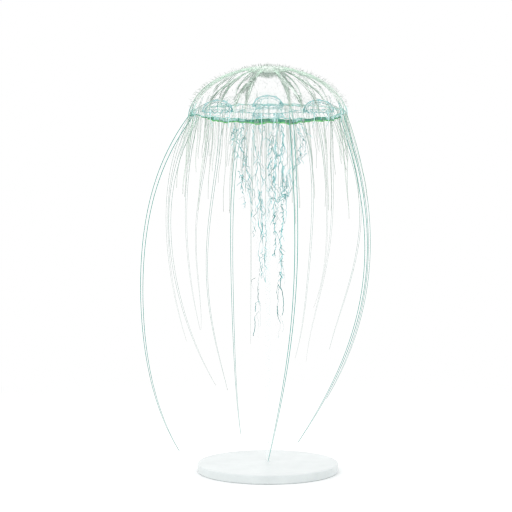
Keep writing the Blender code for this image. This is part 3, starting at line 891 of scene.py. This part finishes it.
def build_gonads():
    """Four clear pouches, each with two crossing arches over it and wavy rings round its foot."""
    rng = np.random.default_rng(31)
    arches, arch_radii, faces = [], [], []
    ribbons, radii, tint = [], [], []
    narrower, lower = 0.84, 0.0034
    for number, azimuth in enumerate(QUARTERS):
        center = polar(GONAD_DISTANCE, azimuth, 0)
        out = outward(azimuth)
        tangent = array([-out[1], out[0], 0])
        strength = GONAD_STRENGTH[number]
        for direction, face in ((tangent, out), (out, tangent)):
            broadside = abs(direction[0]) > 0.5
            size = strength * (ARCH_RADIUS if broadside else THIN_ARCH_RADIUS)
            arches.append(arch(center, direction, GONAD_RADIUS, GONAD_HEIGHT, 0.0003, 13))
            arch_radii.append(beaded(size, 0.3, 9, number))
            faces.append(face)
            if broadside:
                inner = arch(center, direction, narrower * GONAD_RADIUS, GONAD_HEIGHT - lower, 0.0004, 15)
                ribbons.append(inner)
                radii.append(beaded(strength * THIN_ARCH_RADIUS, 0.3, 9, number))
                tint.append(0.7)
        for share, level, size in ((1.02, 0.0012, 0.00038), (0.88, -0.0004, 0.00028)):
            ribbons.append(foot_ring(center, out, tangent, share, level))
            radii.append(beaded((0.5 + 0.5 * strength) * size, 0.4, 26, number))
            tint.append(rng.random())
    arches, arch_radii = array(arches), array(arch_radii)
    ribbons, radii = array(ribbons), array(radii)
    clear = tissue("gonad_jelly", (0.62, 0.9, 0.92), (0.44, 0.8, 0.82), alpha=0.55, roughness=0.25, scale=300)
    ribbon = thread_look("gonad_ribbon", (0.3, 0.66, 0.68), (0.06, 0.36, 0.34), roughness=0.3, scale=300)
    tubes("gonad_arches", arches, arch_radii, 8, clear)
    # dark lines of painted edge shade along the sides of the clear arches
    edges = edge_lines(arches, arch_radii, array(faces), SHADE_LINE_TURNS)
    size = 0.22 * np.tile(arch_radii, (len(SHADE_LINE_TURNS), 1))
    tubes("gonad_shade_lines", edges, size, 4, ribbon, tint=np.full(len(edges), 0.5))
    tubes("gonad_ribbons", ribbons, radii, 6, ribbon, tint=array(tint))
    grow_twigs("gonad_frills", ribbons, radii, 230, (0.002, 0.0085), rng, ribbon)
    grow_twigs("gonad_knots", arches, arch_radii, 110, (0.002, 0.0065), rng, ribbon, first_row=51)
    build_stomach(rng, ribbon)
    build_pouches()


def build_stomach(rng, look):
    """The stomach's edge: wavy rings round the mouth tube and strands from them to the pouches."""
    turn = linspace(0, 360, 181)
    wave = radians(turn)
    paths, radii = [], []
    for way_in, level, size in ((0, 0.0014, 0.00042), (0.0045, 0.0002, 0.00026)):
        phase = rng.uniform(0, 2 * pi, 3)
        radius = STOMACH_RADIUS - way_in + 0.0014 * sin(7 * wave + phase[0])
        height = level + 0.0005 * sin(19 * wave + phase[1])
        paths.append(polar(radius, turn, height))
        radii.append(size * (0.35 + 0.65 * smooth(sin(5 * wave + phase[2]) + sin(23 * wave), -1, 0.6)))
    tint = array([0.8, 0.5])
    tubes("stomach_ring", array(paths), array(radii), 6, look, tint=tint)
    azimuth = (QUARTERS[:, None] + linspace(-20, 20, 6)).reshape(-1, 1)
    reach = linspace(STOMACH_RADIUS - 0.01, GONAD_DISTANCE - 0.8 * GONAD_RADIUS, 16)
    height = 0.0006 + 0.001 * sin(160 * reach + rng.uniform(0, 6.3, (len(azimuth), 1)))
    links = polar(reach, azimuth + 2 * sin(230 * reach + azimuth), height)
    size = np.full(links.shape[:2], 0.00024)
    tubes("stomach_links", links, size, 4, look, tint=rng.random(len(links)))


def build_pouches():
    look = tissue("gonad_membrane", (0.9, 0.97, 0.97), (0.8, 0.93, 0.93), alpha=0.02, roughness=0.2)
    share = linspace(0, 1, 14)[1:, None]
    angle = 2 * pi * arange(40) / 40
    reach = GONAD_RADIUS * 0.98 * share
    rise = GONAD_HEIGHT * np.sqrt(1 - share**2) + 0 * angle
    shape = stack([reach * cos(angle), reach * sin(angle), rise], axis=-1)
    for number, azimuth in enumerate(QUARTERS):
        center = polar(GONAD_DISTANCE, azimuth, 0)
        upper = center + shape
        lower = upper[-2::-1].copy()
        lower[:, :, 2] = RIM - 0.0004
        poles = [center + UP * GONAD_HEIGHT, center - UP * 0.0004]
        rings = concatenate([upper, lower])
        closed_shell(f"gonad_pouch_{number + 1}", rings, poles, look, [f"gonad_{number + 1}"])


# Mouth tube and oral arms


def mouth_corners(rings, radius, azimuth):
    """How far the mouth tube's points move out towards its four corners."""
    low = smooth(RIM + 0.02 - rings[..., 2], 0, 0.02)
    turn = radians((azimuth - ARM_FIRST) * ARM_COUNT)
    reach = 0.026 * low * (0.5 + 0.5 * cos(turn)) ** 1.5
    return (reach * (radius / 0.0125).clip(0, 1))[..., None] * outward(azimuth)


def build_manubrium():
    fine = linspace(0, 1, 40)
    knots = linspace(0, 1, len(MOUTH_RADII))
    radius, height = np.interp(fine, knots, MOUTH_RADII), np.interp(fine, knots, MOUTH_HEIGHTS)
    look = tissue("mouth_jelly", (0.86, 0.96, 0.94), (0.74, 0.9, 0.88), alpha=0.07, roughness=0.2)
    revolved("mouth_tube", radius, height, 96, look, ["manubrium"], shift=mouth_corners)


def arm_outer(drop):
    """Distance of a leaf's outer edge from the axis."""
    rising = sin(0.5 * pi * clip(drop / ARM_BELLY_DROP, 0, 1))
    rising = ARM_TOP_REACH + (ARM_BELLY - ARM_TOP_REACH) * rising
    left = 1 - clip((drop - ARM_BELLY_DROP) / (ARM_LENGTH - ARM_BELLY_DROP), 0, 1)
    tail = ARM_INNER + ARM_TIP + (ARM_TAIL - ARM_TIP) * left
    falling = tail + (ARM_BELLY - ARM_INNER - ARM_TAIL) * left**ARM_TAPER
    return np.where(drop < ARM_BELLY_DROP, rising, falling)


def arm_place(azimuth, drop, share, aside):
    """Points on an oral arm: share runs from its inner to its outer edge, aside is off its plane."""
    radius = ARM_INNER + (arm_outer(drop) - ARM_INNER) * share
    outer = FRILL_OUTER * np.maximum(share, 0) ** 1.5 * sin(2 * pi * drop / FRILL_OUTER_PITCH)
    inner = FRILL_INNER * (1 - share) * sin(2 * pi * drop / FRILL_INNER_PITCH)
    return polar(radius, azimuth, -drop) + (outer + inner + aside)[..., None] * outward(azimuth + 90)


def rooted(path, azimuth, drop, share):
    """The path with its upper part drawn to a point on an arm's leaf."""
    root = arm_place(azimuth, array(drop), array(share), 0)
    hold = 1 - smooth(linspace(0, 1, len(path)), 0, 0.25)
    return path + (root - path[0]) * hold[:, None]


def kinked(rng, path, size):
    """A strand's path with small kinks, and its tapering radii."""
    kinks = rng.normal(0, 0.0009, (ROWS, 3)) * [1, 1, 0.3]
    return path + kinks, size * linspace(1, 0.4, ROWS) * rng.uniform(0.8, 1.2)


def leaf_strands(rng, azimuth):
    plans = []
    for middle, spread, first, low, high, size in ARM_STRANDS:
        place = middle + spread * rng.uniform(-1, 1)
        plans.append((place, rng.uniform(-0.005, 0.005), first, rng.uniform(low, high), size))
    made = []
    for place, aside, first, last, size in plans:
        drop = linspace(first, last, ROWS)
        share = np.minimum(place + walk(rng, 1, ROWS, 0.01 + 0.012 * place)[0], 1)
        path = arm_place(azimuth, drop, share, aside + walk(rng, 1, ROWS, 0.0008)[0])
        made.append(kinked(rng, rooted(path, azimuth, first, share[0]), size))
    return made


def stray_strand(rng, azimuth):
    """A strand that leaves an arm's leaf and hangs inwards."""
    first = rng.uniform(0.045, 0.11)
    drop = linspace(first, first + rng.uniform(0.04, 0.075), ROWS)
    outer = arm_outer(array(first))
    radius = outer * rng.uniform(0.6, 1) - 0.25 * (drop - first)
    share = (radius[0] - ARM_INNER) / (outer - ARM_INNER)
    path = polar(radius, azimuth, -drop) + walk(rng, 3, ROWS, 0.0005).T
    return kinked(rng, rooted(path, azimuth, first, share), 0.00055)


def mouth_strand(rng, number):
    """A strand that hangs near the axis from an arm's inner edge."""
    first = 0.003 + 0.06 * (number % 3)
    drop = linspace(first, first + rng.uniform(0.09, 0.15), ROWS)
    radius = rng.uniform(0.006, 0.014) + walk(rng, 1, ROWS, 0.0003)[0].clip(-0.002, 0.004)
    home = ARM_FIRST + 90 * number
    azimuth = home + 45 * (number // ARM_COUNT) + walk(rng, 1, ROWS, 3)[0]
    return kinked(rng, rooted(polar(radius, azimuth, -drop), home, first, 0), 0.0006)


def arm_strands(rng):
    """The main strands of the oral arms, and their radii."""
    made = []
    for azimuth in ARM_AZIMUTHS:
        made += leaf_strands(rng, azimuth)
        made.append(stray_strand(rng, azimuth))
    for number in range(2 * ARM_COUNT):
        made.append(mouth_strand(rng, number))
    paths, radii = zip(*made)
    return array(paths), array(radii)


def arm_tails(rng):
    """Loose short threads low on the arms' leaves."""
    paths = []
    for azimuth in np.repeat(ARM_AZIMUTHS, 4):
        first = rng.uniform(0.225, 0.315)
        drop = linspace(first, min(first + rng.uniform(0.015, 0.055), 0.352), ROWS)
        share = clip(rng.uniform(0, 1) + walk(rng, 1, ROWS, 0.015)[0], 0, 1)
        aside = rng.uniform(-0.01, 0.008) + walk(rng, 1, ROWS, 0.0003)[0]
        paths.append(rooted(arm_place(azimuth, drop, share, aside), azimuth, first, share[0]))
    radii = 0.00038 * clip(0.8 + walk(rng, len(paths), ROWS, 0.15), 0.2, 1.4)
    return array(paths), radii


def build_arm_leaves():
    """The thin clear leaves of the oral arms, which carry the lace."""
    look = tissue("arm_leaf", (0.9, 0.97, 0.96), (0.8, 0.93, 0.92), alpha=0.015, roughness=0.25)
    drop = linspace(ARM_TOP, ARM_LENGTH, LEAF_ROWS)[:, None]
    share = linspace(0, 1, LEAF_COLUMNS)
    ruffle = 0.0012 * share * sin(2 * pi * drop / 0.011 + 3 * share)
    thin = 0.0004 * (1 - 0.4 * drop / ARM_LENGTH)
    around = arange(2 * LEAF_COLUMNS)
    quads = ring_faces(1, LEAF_ROWS, len(around))
    caps = stack([around[::-1], (LEAF_ROWS - 1) * len(around) + around])
    for number, azimuth in enumerate(ARM_AZIMUTHS):
        front = arm_place(azimuth, drop, share, ruffle + thin)
        back = arm_place(azimuth, drop, share, ruffle - thin)
        rings = concatenate([front, back[:, ::-1]], axis=1)
        name = f"oral_arm_{number + 1}"
        add_mesh(name, rings, quads, look, [f"{name}_upper", f"{name}_lower"], ends=caps)


def build_arm_lace():
    """Clear knotted strands with broken dark lines of painted edge shade along their sides, and tails, wisps,
    twigs and spikes.
    """
    rng = np.random.default_rng(42)
    clear = tissue("arm_jelly", (0.54, 0.94, 0.95), (0.38, 0.85, 0.86), alpha=0.26, roughness=0.25, scale=160)
    teal, deep, grey = (0.28, 0.8, 0.82), (0.09, 0.42, 0.42), (0.2, 0.3, 0.29)
    look = thread_look("arm_lace", teal, deep, grey, roughness=0.35, scale=160)
    strands, radii = arm_strands(rng)
    beads = sin(np.cumsum(rng.uniform(0.3, 1.4, radii.shape), axis=1))
    knots = 1 + 1.1 * np.maximum(beads, 0) ** 4
    radii = radii * knots * clip(0.8 + walk(rng, len(radii), ROWS, 0.12), 0.4, 1.3)
    tubes("arm_strands", strands, radii, 6, clear)
    # broken dark lines of painted edge shade along the clear strands' sides
    edges = edge_lines(strands, radii, FRONT, THIN_SHADE_LINE_TURNS)
    shade_dashes = sin(np.cumsum(rng.uniform(0.2, 1, (len(edges), ROWS)), axis=1))
    size = 0.00036 * clip(1.9 * shade_dashes - 0.7, 0.1, 1) * linspace(0.65, 1, ROWS)
    tubes("arm_shade_lines", edges, size, 4, look, tint=rng.random(len(edges)))
    tails, tail_radii = arm_tails(rng)
    tubes("arm_tails", tails, tail_radii, 5, look, tint=rng.uniform(0.6, 1, len(tails)))
    grow_twigs("arm_wisps", strands, radii, 80, (0.008, 0.022), rng, look, lean=1.3)
    twigs, twig_radii = grow_twigs(
        "arm_twigs", strands, radii, 420, (0.0025, 0.011), rng, look, lean=0.5
    )
    grow_twigs("arm_spikes", twigs, twig_radii, 360, (0.0015, 0.0045), rng, look, sides=3)


# Stand, stage, light and camera


def finish_stand():
    base = tissue("stand_acrylic", (0.7, 0.74, 0.74), (0.64, 0.68, 0.68), roughness=0.25, scale=30, bump=0.05)
    rod = tissue(
        "rod_acrylic", (0.95, 0.98, 0.98), (0.9, 0.95, 0.95), alpha=0.25, roughness=0.05, scale=20, bump=0.02
    )
    for name, look in (("stand_base", base), ("stand_rod", rod)):
        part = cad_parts[name]
        part.data.materials.clear()
        part.data.materials.append(look)


def build_stage():
    """A pale floor that fades into the white surround."""
    bpy.ops.mesh.primitive_circle_add(vertices=128, radius=30, fill_type="NGON", location=(0, 0, 0))
    floor = bpy.context.active_object
    floor.name = "floor"
    look = bpy.data.materials.new("floor_paper")
    look.use_nodes = True
    tree = look.node_tree
    shader = tree.nodes["Principled BSDF"]
    shader.inputs["Base Color"].default_value = (0.92, 0.93, 0.93, 1)
    shader.inputs["Roughness"].default_value = 0.9
    shader.inputs["Specular IOR Level"].default_value = 0.1
    place = node(tree, "ShaderNodeTexCoord")
    length = node(tree, "ShaderNodeVectorMath", operation="LENGTH")
    tree.links.new(place.outputs["Object"], length.inputs[0])
    fade = map_range(tree, length.outputs["Value"], 0.12, 0.9, interpolation_type="SMOOTHSTEP")
    glow = node(tree, "ShaderNodeEmission", Color=(1, 1, 1, 1))
    mix = node(tree, "ShaderNodeMixShader")
    tree.links.new(fade.outputs["Result"], mix.inputs[0])
    tree.links.new(shader.outputs[0], mix.inputs[1])
    tree.links.new(glow.outputs[0], mix.inputs[2])
    tree.links.new(mix.outputs[0], tree.nodes["Material Output"].inputs["Surface"])
    floor.data.materials.append(look)


def aimed(name, data, place, aim):
    """A lamp or camera at a place, turned to look at a point."""
    made = bpy.data.objects.new(name, data)
    made.location = place
    made.rotation_euler = (aim - made.location).to_track_quat("-Z", "Y").to_euler()
    bpy.context.scene.collection.objects.link(made)
    return made


def add_light():
    world = bpy.data.worlds.new("studio")
    world.use_nodes = True
    sky = world.node_tree.nodes["Background"]
    sky.inputs["Color"].default_value = (1, 1, 1, 1)
    sky.inputs["Strength"].default_value = 1.15
    bpy.context.scene.world = world
    lamp = bpy.data.lights.new("key", "AREA")
    lamp.energy = 6
    lamp.size = 1.2
    aimed("key", lamp, Vector((-0.9, -1.2, 1.9)), Vector((0, 0, 0.45)))


def add_camera():
    scene = bpy.context.scene
    lens = bpy.data.cameras.new("camera")
    lens.sensor_width = 36
    lens.lens = lens.sensor_width * VIEW_DISTANCE / VIEW_HEIGHT
    tilt = radians(VIEW_ELEVATION)
    place = VIEW_AIM + VIEW_DISTANCE * Vector((0, -cos(tilt), sin(tilt)))
    scene.camera = aimed("camera", lens, place, VIEW_AIM)
    scene.view_settings.view_transform = "Standard"
    scene.cycles.transparent_max_bounces = 64  # many clear layers lie behind one another
    scene.cycles.filter_width = 1.2  # keeps the thin threads crisp


build_bell_skin()
build_ribs()
build_crown()
build_fuzz()
build_margin()
build_margin_roots()
build_canals()
build_tentacles()
build_fringe()
build_gonads()
build_manubrium()
build_arm_leaves()
build_arm_lace()
finish_stand()
build_stage()
add_light()
add_camera()
